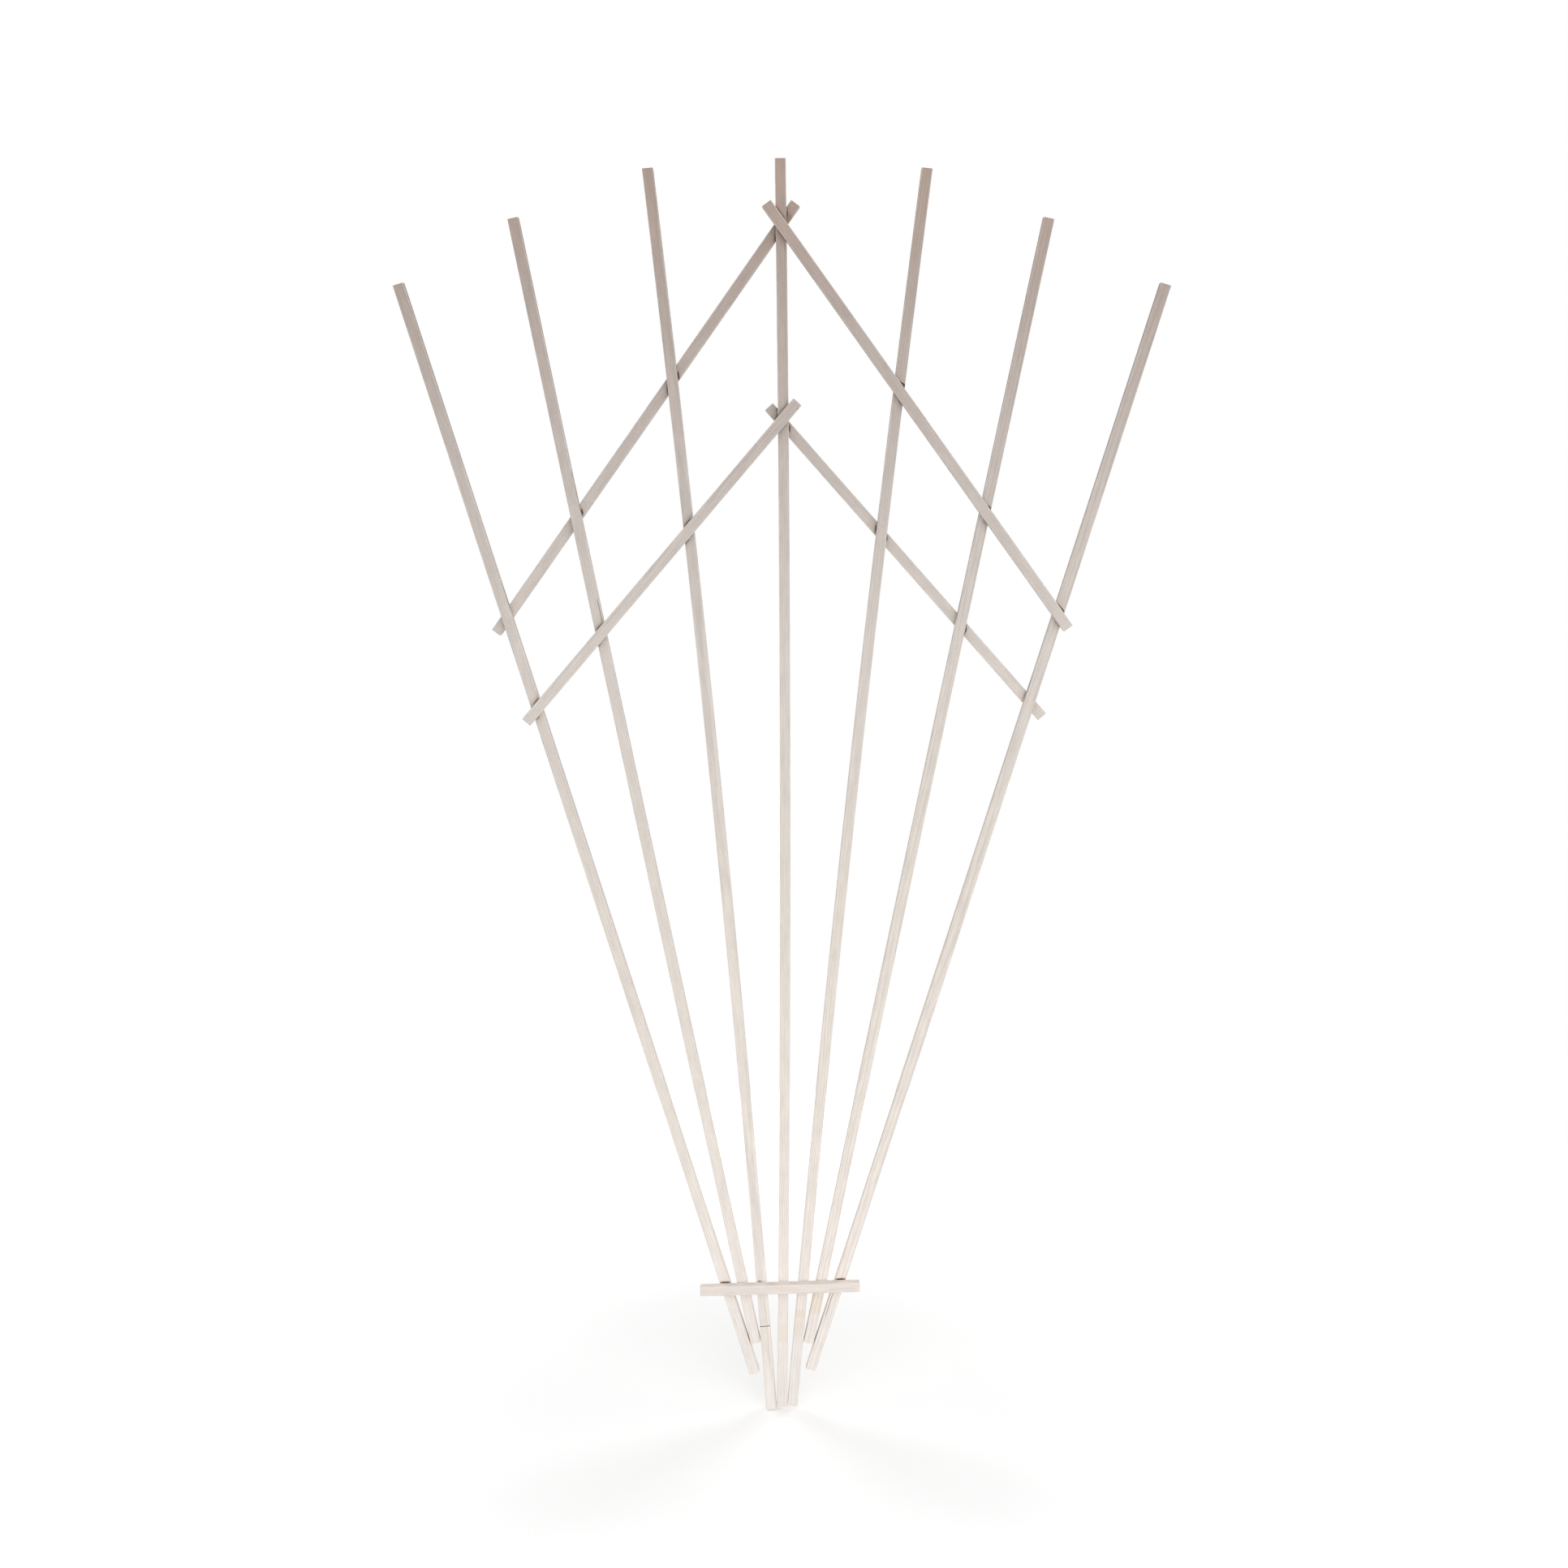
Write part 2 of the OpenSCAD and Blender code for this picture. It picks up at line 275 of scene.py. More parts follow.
ARRIS_WEAR_SHARE = 0.4    # how far wear changes the radius of a long edge
HOLLOW = 0.00018          # depth of the shallow hollows that the planer left
EDGE_WAVES = (14, 0.5, 0.012)    # wear of the edges: how many waves, the longest and the shortest
HOLLOW_WAVES = (18, 0.7, 0.012)  # hollows, in the same way
NICK_HALF_TURN = 0.2      # half the width of a nick round the section, in radians
SPLIT_TAPER = 0.6         # below 1, a split keeps its depth until near its ends
STAIN_EDGE = 0.0025       # how far the edge of a soil stain fades
SCREW_RIM = 0.0003        # height of the straight rim of a screw head
CONE_REACH = HEAD_HOLE * np.array([0, 0.53, 0.97, 1])  # a countersink's section, from its axis out
CONE_DROP = HEAD_HOLE * np.array([0.6, 0.44, 0])       # its depth under the head's rim
PITH_AWAY = (0.018, 0.06)  # least and greatest distance of a batten from the pith of its log
PITH_TURN = 2.4           # angle round the pith from one batten to the next
LOG_SHIFT = 0.31          # shift along the log from one batten to the next
SMOOTH_ANGLE = math.radians(38)  # edges that turn more than this are drawn sharp


def batten_surface(name, seed, splits=(), scores=(), nicks=(), stains=()):
    """Closed surface of a sawn batten. A square section with rounded corners is carried along the
    bowed line: each point is its column's centre, plus the edge radius times the column's
    direction, less shallow hollows and nicks. At a split or score a column or row of the front is
    let in, and at a screw head the grid is drawn into a circle and let down as a countersink."""
    line = lines[name]
    rng = np.random.default_rng(seed)
    heads = sunk_heads(line)
    groove = splits[0][2] if splits else 0.1 * line.width  # unsplit: just right of the middle
    centres, ways = section_columns(line, groove)
    along, scale, drawn = section_rows(line, heads, scores, nicks)
    along = np.repeat(along, len(ways), axis=1)
    around = np.arctan2(centres[:, 1] + ways[:, 1], centres[:, 0] + ways[:, 0])
    radius = ARRIS * (1 + ARRIS_WEAR_SHARE * soft_noise(rng, along, around, *EDGE_WAVES))
    hollow = HOLLOW * (0.5 + 0.5 * soft_noise(rng, along, around, *HOLLOW_WAVES))
    dark = np.zeros_like(along)
    for at, corner, depth, reach in nicks:
        turn = (around - corner) / NICK_HALF_TURN
        near = np.exp(-(((along - at) / reach) ** 2) - turn**2)
        hollow = hollow + depth * near
        dark = np.maximum(dark, near)
    half = np.array([line.width, line.depth]) / 2 - drawn
    shape = scale[..., None] * (
        centres * (half[:, None] - radius[..., None]) + (radius - hollow)[..., None] * ways
    )
    aside, deep = shape[..., 0], shape[..., 1]

    front, back = ways[:, 1] == -1, ways[:, 1] == 1
    cut = np.zeros_like(along)
    for low, high, at, depth in splits:
        share = np.clip((along - low) / (high - low), 0, 1)
        here = front & (np.abs(centres[:, 0] * (line.width / 2 - ARRIS) - at) < GROOVE_HALF_W / 2)
        cut = np.maximum(cut, depth * (4 * share * (1 - share)) ** SPLIT_TAPER * here)
    for at, depth, half_w in scores:
        here = (ways[:, 1] < -0.5) & (np.abs(along - at) < half_w / 2)
        cut = np.maximum(cut, depth * here)
    deep = deep + cut

    soil = np.zeros_like(along)
    for low, high, strength in stains:
        inside = np.clip(np.minimum(along - low, high - along) / STAIN_EDGE, 0, 1)
        soil = np.maximum(soil, strength * inside)

    stain = np.zeros_like(along)
    for at, offset, sunk in heads:
        a, b = along - at, centres[:, 0] * (line.width / 2 - ARRIS)
        square, circle = np.maximum(np.abs(a), np.abs(b)), np.hypot(a, b) + 1e-9
        pull = np.clip((HOLE_STEPS[-1] - square) / (0.8 * HEAD_HOLE), 0, 1) * back
        along = along + a * (square / circle - 1) * pull
        aside = aside + (b * square / circle + offset - aside) * pull
        reach = np.hypot(along - at, aside - offset)
        drop = np.interp(reach, CONE_REACH, [*(sunk + SCREW_RIM + CONE_DROP), 0])
        deep = deep - drop * back * (square < 1.001 * HEAD_HOLE)
        stain += np.exp(-((reach / (2 * HEAD_HOLE)) ** 2)) * back

    points = line.place(along, aside, deep)
    poles = line.place(np.array([0, line.length]), np.zeros(2), np.zeros(2))
    angle = PITH_TURN * seed
    pith = rng.uniform(*PITH_AWAY) * np.array([np.cos(angle), np.sin(angle)])
    in_log = np.stack([aside, deep, along], axis=-1).reshape(-1, 3)
    in_log = np.concatenate([in_log, [[0, 0, 0], [0, 0, line.length]]]) + [*pith, LOG_SHIFT * seed]

    index = np.arange(along.size).reshape(along.shape)
    beside = np.roll(index, -1, axis=1)
    quads = np.stack([index[:-1], beside[:-1], beside[1:], index[1:]], axis=-1).reshape(-1, 4)
    foot = np.stack([np.full(len(ways), index.size), beside[0], index[0]], axis=-1)
    head = np.stack([np.full(len(ways), index.size + 1), index[-1], beside[-1]], axis=-1)
    mesh = bpy.data.meshes.new(name + "_timber")
    faces = quads.tolist() + foot.tolist() + head.tolist()
    mesh.from_pydata(np.concatenate([points.reshape(-1, 3), poles]), [], faces)
    mesh.shade_smooth()
    mesh.set_sharp_from_angle(angle=SMOOTH_ANGLE)

    place = mesh.attributes.new("place_in_log", "FLOAT_VECTOR", "POINT")
    place.data.foreach_set("vector", in_log.ravel())
    # The dirt mask holds dirt and painted contact shade, the smear mask a smear that is partly painted
    # shadow.
    masks = {
        "edge": (2 * np.abs(ways[:, 0] * ways[:, 1]) * (scale == 1), 0),
        "groove": (np.maximum(cut / (cut.max() + 1e-9), dark), 0),
        "sawn_end": (scale < 1, 1),
        "screw_stain": (stain, 0),
        "soil_stain": (soil, 0),
        "crossing_gap": (crossing_gap(name, points, ways), 1),
        "dirt": (dirt_and_shade_patches(points, CROSSING_DIRT_AND_SHADE), 0),
        "smear": (dirt_and_shade_patches(points, CROSSING_SMEARS_AND_SHADOWS), 0),
    }
    for title, (values, at_pole) in masks.items():
        values = np.broadcast_to(values, along.shape).astype(float).ravel()
        mask = mesh.attributes.new(title, "FLOAT", "POINT")
        mask.data.foreach_set("value", np.concatenate([values, [at_pole, at_pole]]))
    return mesh


def add(tree, kind, place, **settings):
    """A new shader node. Settings that begin with in_ are input values, the rest are properties."""
    node = tree.nodes.new(kind)
    node.location = place
    for key, value in settings.items():
        if key.startswith("in_"):
            socket = key[3:].replace("_", " ")
            node.inputs[int(socket) if socket.isdigit() else socket].default_value = value
        else:
            setattr(node, key, value)
    return node


def feed(tree, socket, value):
    """Gives an input socket a link from another socket, or a plain value."""
    if isinstance(value, bpy.types.NodeSocket):
        tree.links.new(value, socket)
    else:
        socket.default_value = value


def calc(tree, place, operation, *values):
    """Result of one step of arithmetic on values or sockets."""
    node = add(tree, "ShaderNodeMath", place, operation=operation)
    for socket, value in zip(node.inputs, values):
        feed(tree, socket, value)
    return node.outputs[0]


def blend(tree, place, kind, factor, first, second):
    """Colour that blends two colours by a factor."""
    node = add(tree, "ShaderNodeMix", place, data_type="RGBA", blend_type=kind)
    for socket, value in zip((0, 6, 7), (factor, first, second)):
        feed(tree, node.inputs[socket], value)
    return node.outputs[2]


def spread(tree, place, value, low, high, start, stop):
    """Value taken smoothly from the range low to high onto the range start to stop."""
    node = add(tree, "ShaderNodeMapRange", place, interpolation_type="SMOOTHSTEP")
    for socket, given in zip(node.inputs, (value, low, high, start, stop)):
        feed(tree, socket, given)
    return node.outputs[0]


def stretched_noise(tree, place, where, stretch, detail, roughness):
    """Noise on a place that is first stretched along each axis."""
    stretched = add(tree, "ShaderNodeVectorMath", place, operation="MULTIPLY", in_1=stretch)
    noise = add(tree, "ShaderNodeTexNoise", (place[0] + 200, place[1]), in_Scale=1)
    noise.inputs["Detail"].default_value = detail
    noise.inputs["Roughness"].default_value = roughness
    feed(tree, stretched.inputs[0], where)
    feed(tree, noise.inputs["Vector"], stretched.outputs[0])
    return noise.outputs["Fac"]


def new_group(title, inputs, outputs):
    """A node group whose sockets are given by name and kind, with its own ends of those sockets."""
    group = bpy.data.node_groups.new(title, "ShaderNodeTree")
    for side, sockets in (("INPUT", inputs), ("OUTPUT", outputs)):
        for name, kind in sockets.items():
            group.interface.new_socket(name, in_out=side, socket_type="NodeSocket" + kind)
    into = add(group, "NodeGroupInput", (-1200, 0))
    out = add(group, "NodeGroupOutput", (1000, 0))
    return group, into.outputs, out.inputs


def place_group(tree, place, group, inputs):
    """Output sockets of a node group that is placed in a material, with each named input fed."""
    node = add(tree, "ShaderNodeGroup", place, node_tree=group)
    for name, value in inputs.items():
        feed(tree, node.inputs[name], value)
    return node.outputs


RING_WANDER = 0.012       # how far a growth ring wanders along the log


def softwood_figure():
    """Node group of the timber's figure, read from a place in the log: growth rings round the pith
    that wander along it and end in hard late wood, fine fibres along the grain, a slow mottle, and
    the ripple that the planer left across the grain."""
    figure = dict.fromkeys(("Late Wood", "Fibre", "Mottle", "Ripple"), "Float")
    group, into, out = new_group("softwood_figure", {"Place": "Vector", "Ring Width": "Float"}, figure)
    where = into["Place"]

    # A stretch gives waves per metre: two numbers across the grain, and one along it.
    wander = stretched_noise(group, (-950, 250), where, (22, 22, 2.2), 3, 0.5)
    across = add(group, "ShaderNodeVectorMath", (-950, 50), operation="MULTIPLY", in_1=(1, 1, 0))
    reach = add(group, "ShaderNodeVectorMath", (-750, 50), operation="LENGTH")
    feed(group, across.inputs[0], where)
    feed(group, reach.inputs[0], across.outputs[0])
    bend = calc(group, (-550, 250), "MULTIPLY", wander, RING_WANDER)
    ring = calc(group, (-350, 150), "ADD", reach.outputs["Value"], bend)
    count = calc(group, (-150, 150), "DIVIDE", ring, into["Ring Width"])
    phase = calc(group, (50, 150), "FRACT", count)
    late = add(group, "ShaderNodeValToRGB", (250, 250))
    late.color_ramp.elements.new(0.985)
    for stop, position, level in zip(late.color_ramp.elements, (0.35, 0.9, 0.985), (0, 1, 0.05)):
        stop.position, stop.color = position, (level, level, level, 1)
    feed(group, late.inputs["Fac"], phase)
    feed(group, out["Late Wood"], late.outputs["Color"])

    feed(group, out["Fibre"], stretched_noise(group, (-950, -150), where, (1400, 1400, 26), 4, 0.6))
    feed(group, out["Mottle"], stretched_noise(group, (-950, -350), where, (120, 120, 28), 5, 0.65))
    feed(group, out["Ripple"], stretched_noise(group, (-950, -550), where, (30, 30, 260), 1, 0.5))
    return group


# Edges rubbed pale, partly wear and partly a painted highlight along the edge.
PALE_EDGE_AND_HIGHLIGHT = (0.80, 0.75, 0.69, 1)
SAWN_END = (0.84, 0.74, 0.62, 1)
# Painted light from above: faces that look up are painted lighter by this much.
PAINTED_TOP_LIGHT = (1.14, 1.15, 1.17, 1)


def timber_wear_and_light():
    """Node group of the wear and of painted light: edges are rubbed pale in patches, which also paints
    a highlight along them, sawn ends have taken on a brown, and the faces that look up are painted
    lighter, as painted light from above."""
    masks = dict.fromkeys(("Mottle", "Edge", "Sawn End", "Upward"), "Float")
    group, into, out = new_group("timber_wear_and_light", {"Colour": "Color", **masks}, {"Colour": "Color"})
    rubbed_and_highlit = calc(group, (-900, -100), "MULTIPLY", into["Edge"], into["Mottle"])
    colour = blend(group, (-650, 100), "MIX", rubbed_and_highlit, into["Colour"], PALE_EDGE_AND_HIGHLIGHT)
    sawn = calc(group, (-400, -100), "MULTIPLY", into["Sawn End"], 0.5)
    colour = blend(group, (-150, 100), "MULTIPLY", sawn, colour, SAWN_END)
    # Painted top light: faces are painted lighter the more they look up.
    top_light_share = spread(group, (100, -100), into["Upward"], 0.3, 0.9, 0, 1)
    feed(group, out["Colour"], blend(group, (350, 100), "MULTIPLY", top_light_share, colour, PAINTED_TOP_LIGHT))
    return group


SOIL_STAIN = (0.96, 0.905, 0.81, 1)
# Painted shade at the crossings, and the darker brown of the corner lines of dirt and painted shade.
SHADE_BROWN = (0.26, 0.18, 0.12, 1)
DIRT_AND_SHADE_BROWN = (0.11, 0.07, 0.046, 1)
STEEL_STAIN = (0.33, 0.29, 0.25, 1)
SPLIT_BROWN = (0.10, 0.068, 0.045, 1)
SHADE_REACH = 0.006       # how far the painted brown shade at a crossing goes
SMEAR_AND_SHADOW_REACH = 0.011       # how far a smear, partly painted shadow, goes
DIRT_AND_SHADE_LINE = 0.0028       # width of the dark line of dirt and painted shade in a crossing's corner
DARK_LINE_SOLID = 0.55        # share of that width that is fully dark
DARK_LINE_FRAY = 0.0016       # how far fibres fray the line
DARK_LINE_EXTRA = 0.0045      # how much further thick dirt and painted shade lie


def dirt_and_stains():
    """Node group of what darkens the wood, painted shade included. Soil has stained it in patches. In
    the corners of the crossings a painted brown shade fades with the gap to the batten on top, a smear
    that is partly painted shadow goes further, and in the corner itself is a dark line of dirt and
    painted contact shade, which fibres fray, clumps break up and thick dirt widens. Steel has stained
    the wood round the screws, and splits, scores and nicks are dark."""
    names = ("Fibre", "Mottle", "Soil Stain", "Crossing Gap", "Dirt", "Smear", "Screw Stain", "Groove")
    sockets = {"Colour": "Color", "Place": "Vector", **dict.fromkeys(names, "Float")}
    group, into, out = new_group("dirt_and_stains", sockets, {"Colour": "Color"})
    fibre, mottle, gap, dirt = into["Fibre"], into["Mottle"], into["Crossing Gap"], into["Dirt"]

    patchy = spread(group, (-900, 350), mottle, 0.35, 0.6, 0.35, 1)
    soil = calc(group, (-700, 350), "MULTIPLY", into["Soil Stain"], patchy)
    colour = blend(group, (-500, 500), "MULTIPLY", soil, into["Colour"], SOIL_STAIN)

    # Painted shade: brown that fades with the gap to the batten on top, where the patches lie.
    painted_shade = spread(group, (-900, 150), gap, 0, SHADE_REACH, 0.25, 0)
    painted_shade = calc(group, (-700, 150), "MULTIPLY", painted_shade, dirt)
    smear = spread(group, (-900, -50), gap, SHADE_REACH, SMEAR_AND_SHADOW_REACH, 1, 0)
    smear = calc(group, (-700, -50), "MULTIPLY", smear, into["Smear"])
    painted_shade = calc(group, (-500, 100), "MAXIMUM", painted_shade, smear)
    colour = blend(group, (-300, 500), "MIX", painted_shade, colour, SHADE_BROWN)

    clumps = stretched_noise(group, (-900, -250), into["Place"], (75, 75, 75), 2, 0.5)
    ragged = spread(group, (-500, -250), clumps, 0.38, 0.54, 0, 0.12)
    ragged = calc(group, (-300, -250), "MAXIMUM", ragged, dirt)
    # The corner line: dirt and painted contact shade, frayed and thickened.
    frayed = calc(group, (-900, -450), "MULTIPLY_ADD", fibre, DARK_LINE_FRAY, -DARK_LINE_FRAY / 2)
    frayed = calc(group, (-700, -450), "ADD", frayed, gap)
    uneven = spread(group, (-900, -650), mottle, 0.3, 0.7, 0.7, 1.2)
    rough = calc(group, (-700, -650), "MULTIPLY", dirt, uneven)
    thick = spread(group, (-500, -650), rough, 1, 2, 0, DARK_LINE_EXTRA)
    frayed = calc(group, (-300, -500), "SUBTRACT", frayed, thick)
    solid = DARK_LINE_SOLID * DIRT_AND_SHADE_LINE
    corner = spread(group, (-100, -450), frayed, solid, DIRT_AND_SHADE_LINE, 0.97, 0)
    line = calc(group, (100, -300), "MULTIPLY", corner, ragged)
    colour = blend(group, (300, 500), "MIX", line, colour, DIRT_AND_SHADE_BROWN)

    stain = calc(group, (300, 200), "MULTIPLY", into["Screw Stain"], 0.5)
    colour = blend(group, (500, 500), "MIX", stain, colour, STEEL_STAIN)
    groove = spread(group, (300, 0), into["Groove"], 0.1, 0.7, 0, 1)
    broken = spread(group, (300, -200), mottle, 0.32, 0.5, 0.45, 1)
    groove = calc(group, (500, 0), "MULTIPLY", groove, broken)
    feed(group, out["Colour"], blend(group, (750, 500), "MIX", groove, colour, SPLIT_BROWN))
    return group


# The wear group also paints edge highlights and top light, and the last group paints shade.
softwood, wear_and_light, stains = softwood_figure(), timber_wear_and_light(), dirt_and_stains()


def washed_timber(title, tones, ring_width):
    """Washed softwood: pale at the foot and a darker pinkish brown up the batten, a darkening that is
    partly painted shade. Late wood, fibres and a mottle show through the wash, over it come the wear
    with a painted edge highlight and painted top light, the dirt with painted shade at the crossings,
    and the stains, and the figure stands a little proud of the surface."""
    material = bpy.data.materials.new(title)
    material.use_nodes = True
    tree = material.node_tree
    skin = tree.nodes["Principled BSDF"]
    skin.location = (1300, 0)
    skin.inputs["Specular IOR Level"].default_value = 0.25

    place = add(tree, "ShaderNodeAttribute", (-1500, 200), attribute_name="place_in_log")
    grain = {"Place": place.outputs["Vector"], "Ring Width": ring_width}
    late, fibre, mottle, ripple = place_group(tree, (-1250, 200), softwood, grain)

    where = add(tree, "ShaderNodeTexCoord", (-1500, -200)).outputs["Object"]
    height = add(tree, "ShaderNodeSeparateXYZ", (-1300, -200))
    feed(tree, height.inputs[0], where)
    share = calc(tree, (-1100, -200), "DIVIDE", height.outputs["Z"], cad_box[1].z)
    # Colour by height, darker up the frame partly as painted shade.
    wash_and_shade = add(tree, "ShaderNodeValToRGB", (-900, -100))
    for _ in tones[2:]:
        wash_and_shade.color_ramp.elements.new(0.5)
    for stop, (level, colour) in zip(wash_and_shade.color_ramp.elements, tones):
        stop.position, stop.color = level / cad_box[1].z, (*colour, 1)
    feed(tree, wash_and_shade.inputs["Fac"], share)
    colour = wash_and_shade.outputs["Color"]
    # What shades the wash, the range of it that counts, and the brightness at both ends of that.
    shades = (
        (late, 0, 1, 1.02, 0.92),
        (fibre, 0.25, 0.75, 0.94, 1.05),
        (mottle, 0.25, 0.75, 0.94, 1.05),
    )
    for step, shade in enumerate(shades):
        tone = spread(tree, (-900, 600 - 150 * step), *shade)
        colour = blend(tree, (-600 + 180 * step, 100), "MULTIPLY", 1, colour, tone)

    def masks(across, *names):
        """Values that the batten's surface carries, by the names of the inputs that they feed."""
        found = {}
        for step, name in enumerate(names):
            node = add(tree, "ShaderNodeAttribute", (across, -300 - 200 * step))
            node.attribute_name = name.lower().replace(" ", "_")
            found[name] = node.outputs["Fac"]
        return found

    facing = add(tree, "ShaderNodeNewGeometry", (-500, -300))
    upward = add(tree, "ShaderNodeSeparateXYZ", (-300, -300))
    feed(tree, upward.inputs[0], facing.outputs["Normal"])
    # The upward normal sets the painted top light.
    wear_and_light_inputs = {"Colour": colour, "Mottle": mottle, "Upward": upward.outputs["Z"]}
    wear_and_light_inputs.update(masks(-700, "Edge", "Sawn End"))
    colour = place_group(tree, (50, 100), wear_and_light, wear_and_light_inputs)["Colour"]
    dark = {"Colour": colour, "Place": where, "Fibre": fibre, "Mottle": mottle}
    dark.update(masks(-100, "Soil Stain", "Crossing Gap", "Dirt", "Smear", "Screw Stain", "Groove"))
    colour = place_group(tree, (300, 100), stains, dark)["Colour"]
    feed(tree, skin.inputs["Base Color"], colour)
    feed(tree, skin.inputs["Roughness"], spread(tree, (960, -150), fibre, 0.2, 0.8, 0.9, 0.68))

    # What stands proud or lies low, the strength of that, and its depth.
    normal = None
    reliefs = ((ripple, 0.12, 0.0004), (late, 0.3, 0.00025), (fibre, 0.35, 0.0003))
    for step, (relief, strength, distance) in enumerate(reliefs):
        bump = add(tree, "ShaderNodeBump", (500 + 200 * step, -500), in_Strength=strength)
        bump.inputs["Distance"].default_value = distance
        feed(tree, bump.inputs["Height"], relief)
        if normal:
            feed(tree, bump.inputs["Normal"], normal)
        normal = bump.outputs[0]
    feed(tree, skin.inputs["Normal"], normal)
    return material


# The wash, darker up the frame partly as painted shade: height above the ground, and colour there.
WASH_AND_SHADE_TONES = [
    (0.0, (0.835, 0.778, 0.735)),
    (0.2, (0.825, 0.76, 0.712)),
    (0.35, (0.785, 0.722, 0.664)),
    (0.75, (0.704, 0.642, 0.584)),
    (1.1, (0.632, 0.576, 0.531)),
    (1.4, (0.513, 0.456, 0.418)),
    (1.62, (0.424, 0.356, 0.318)),
    (1.8, (0.402, 0.307, 0.258)),
]
upright_timber = washed_timber("upright_timber", WASH_AND_SHADE_TONES, ring_width=0.0024)


def show(name, mesh, material):
    """Puts a finished batten in the place of its CAD node."""
    piece = bpy.data.objects.new(name + "_batten", mesh)
    bpy.context.scene.collection.objects.link(piece)
    mesh.materials.append(material)
    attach(piece, "root")
    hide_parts(name)


# Marks. A split is where it starts and ends along the batten, its offset to the right, and its
# depth. A score is its distance along, depth and half width. A nick is its distance along, its
# corner as an angle round the section, its depth and its reach. A soil stain is where it starts
# and ends along the batten, and its strength.
FRONT_LEFT, FRONT_RIGHT = -3 * np.pi / 4, -np.pi / 4
UPRIGHT_SPLITS = {
    "left_second_upright": [(1.084, 1.122, 0.0054, 0.0012)],
    "right_outer_upright": [(0.083, 0.127, -0.0044, 0.0016)],
}
UPRIGHT_SCORES = {"left_inner_upright": [(0.131, 0.0006, 0.0009)]}
UPRIGHT_NICKS = {
    "left_second_upright": [(1.294, FRONT_RIGHT, 0.0022, 0.0042), (1.49, FRONT_LEFT, 0.0007, 0.0012)],
    "left_outer_upright": [(0.987, FRONT_LEFT, 0.0007, 0.0016)],
}
UPRIGHT_STAINS = {
    "left_inner_upright": [(0.132, 0.145, 0.7), (0.07, 0.13, 0.45)],
    "centre_upright": [(0.1, 0.128, 0.45)],
    "right_inner_upright": [(0.136, 0.151, 1.0), (0.108, 0.135, 0.75)],
    "right_second_upright": [(0.045, 0.078, 1.0)],
}
UPRIGHT_SEED = 1          # of the first upright's random wear; those of the others follow on
for number, name in enumerate(UPRIGHTS):
    tables = (UPRIGHT_SPLITS, UPRIGHT_SCORES, UPRIGHT_NICKS, UPRIGHT_STAINS)
    marks = (table.get(name, ()) for table in tables)
    show(name, batten_surface(name, UPRIGHT_SEED + number, *marks), upright_timber)


# The braces
# Four lengths of the same batten in two chevrons, each laid flat on the uprights, in front or
# behind, with its ends cut square. A screw from behind holds each crossing.
BRACES = [name for name in BARS if name.endswith("_brace")]
BRACE_SEED = 11
BRACE_NICKS = {
    "upper_right_brace": [(0.354, FRONT_RIGHT, 0.001, 0.0014)],
    "lower_left_brace": [(0.577, FRONT_RIGHT - 0.15, 0.001, 0.0013)],
}
brace_timber = washed_timber("brace_timber", WASH_AND_SHADE_TONES, ring_width=0.0019)
for number, name in enumerate(BRACES):
    surface = batten_surface(name, BRACE_SEED + number, nicks=BRACE_NICKS.get(name, ()))
    show(name, surface, brace_timber)


# The foot bar
# One short batten across the front of the bundled feet, screwed to each upright from behind. Its
# wash is even, and a little pinker than that of the feet.
FOOT_BAR_SEED = 21
BAR_TONES = [(0.0, (0.78, 0.71, 0.655)), (1.8, (0.78, 0.71, 0.655))]
foot_bar_timber = washed_timber("foot_bar_timber", BAR_TONES, ring_width=0.0021)
show("foot_bar", batten_surface("foot_bar", FOOT_BAR_SEED), foot_bar_timber)


# The screws
# Countersunk steel wood screws with a cross recess, zinc plated and gone dull outdoors. Each is
# driven from the back, and its head sits just below the wood.
def dull_zinc():
    """Plated steel: bright metal that fine scratches roughen and pale patches of oxide dull."""
    material = bpy.data.materials.new("dull_zinc")
    material.use_nodes = True
    tree = material.node_tree
    skin = tree.nodes["Principled BSDF"]
    where = add(tree, "ShaderNodeTexCoord", (-900, 0)).outputs["Object"]
    scratch = stretched_noise(tree, (-700, 150), where, (2600, 2600, 2600), 4, 0.5)
    patch = stretched_noise(tree, (-700, -150), where, (420, 420, 420), 6, 0.5)
    tint = add(tree, "ShaderNodeValToRGB", (-300, -150))
    for stop, position, level in zip(tint.color_ramp.elements, (0.35, 0.68), (0.24, 0.42)):
        stop.position, stop.color = position, (level, level, 0.96 * level, 1)
    feed(tree, tint.inputs["Fac"], patch)
    feed(tree, skin.inputs["Base Color"], tint.outputs["Color"])
    feed(tree, skin.inputs["Roughness"], spread(tree, (-300, 150), scratch, 0, 1, 0.42, 0.72))
    feed(tree, skin.inputs["Metallic"], spread(tree, (-300, -400), patch, 0.45, 0.75, 1, 0.55))
    bump = add(tree, "ShaderNodeBump", (-300, 350), in_Strength=0.2, in_Distance=0.0001)
    feed(tree, bump.inputs["Height"], scratch)
    feed(tree, skin.inputs["Normal"], bump.outputs[0])
    return material


zinc = dull_zinc()
for name in SCREWS:
    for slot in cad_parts[name].material_slots:
        slot.material = zinc


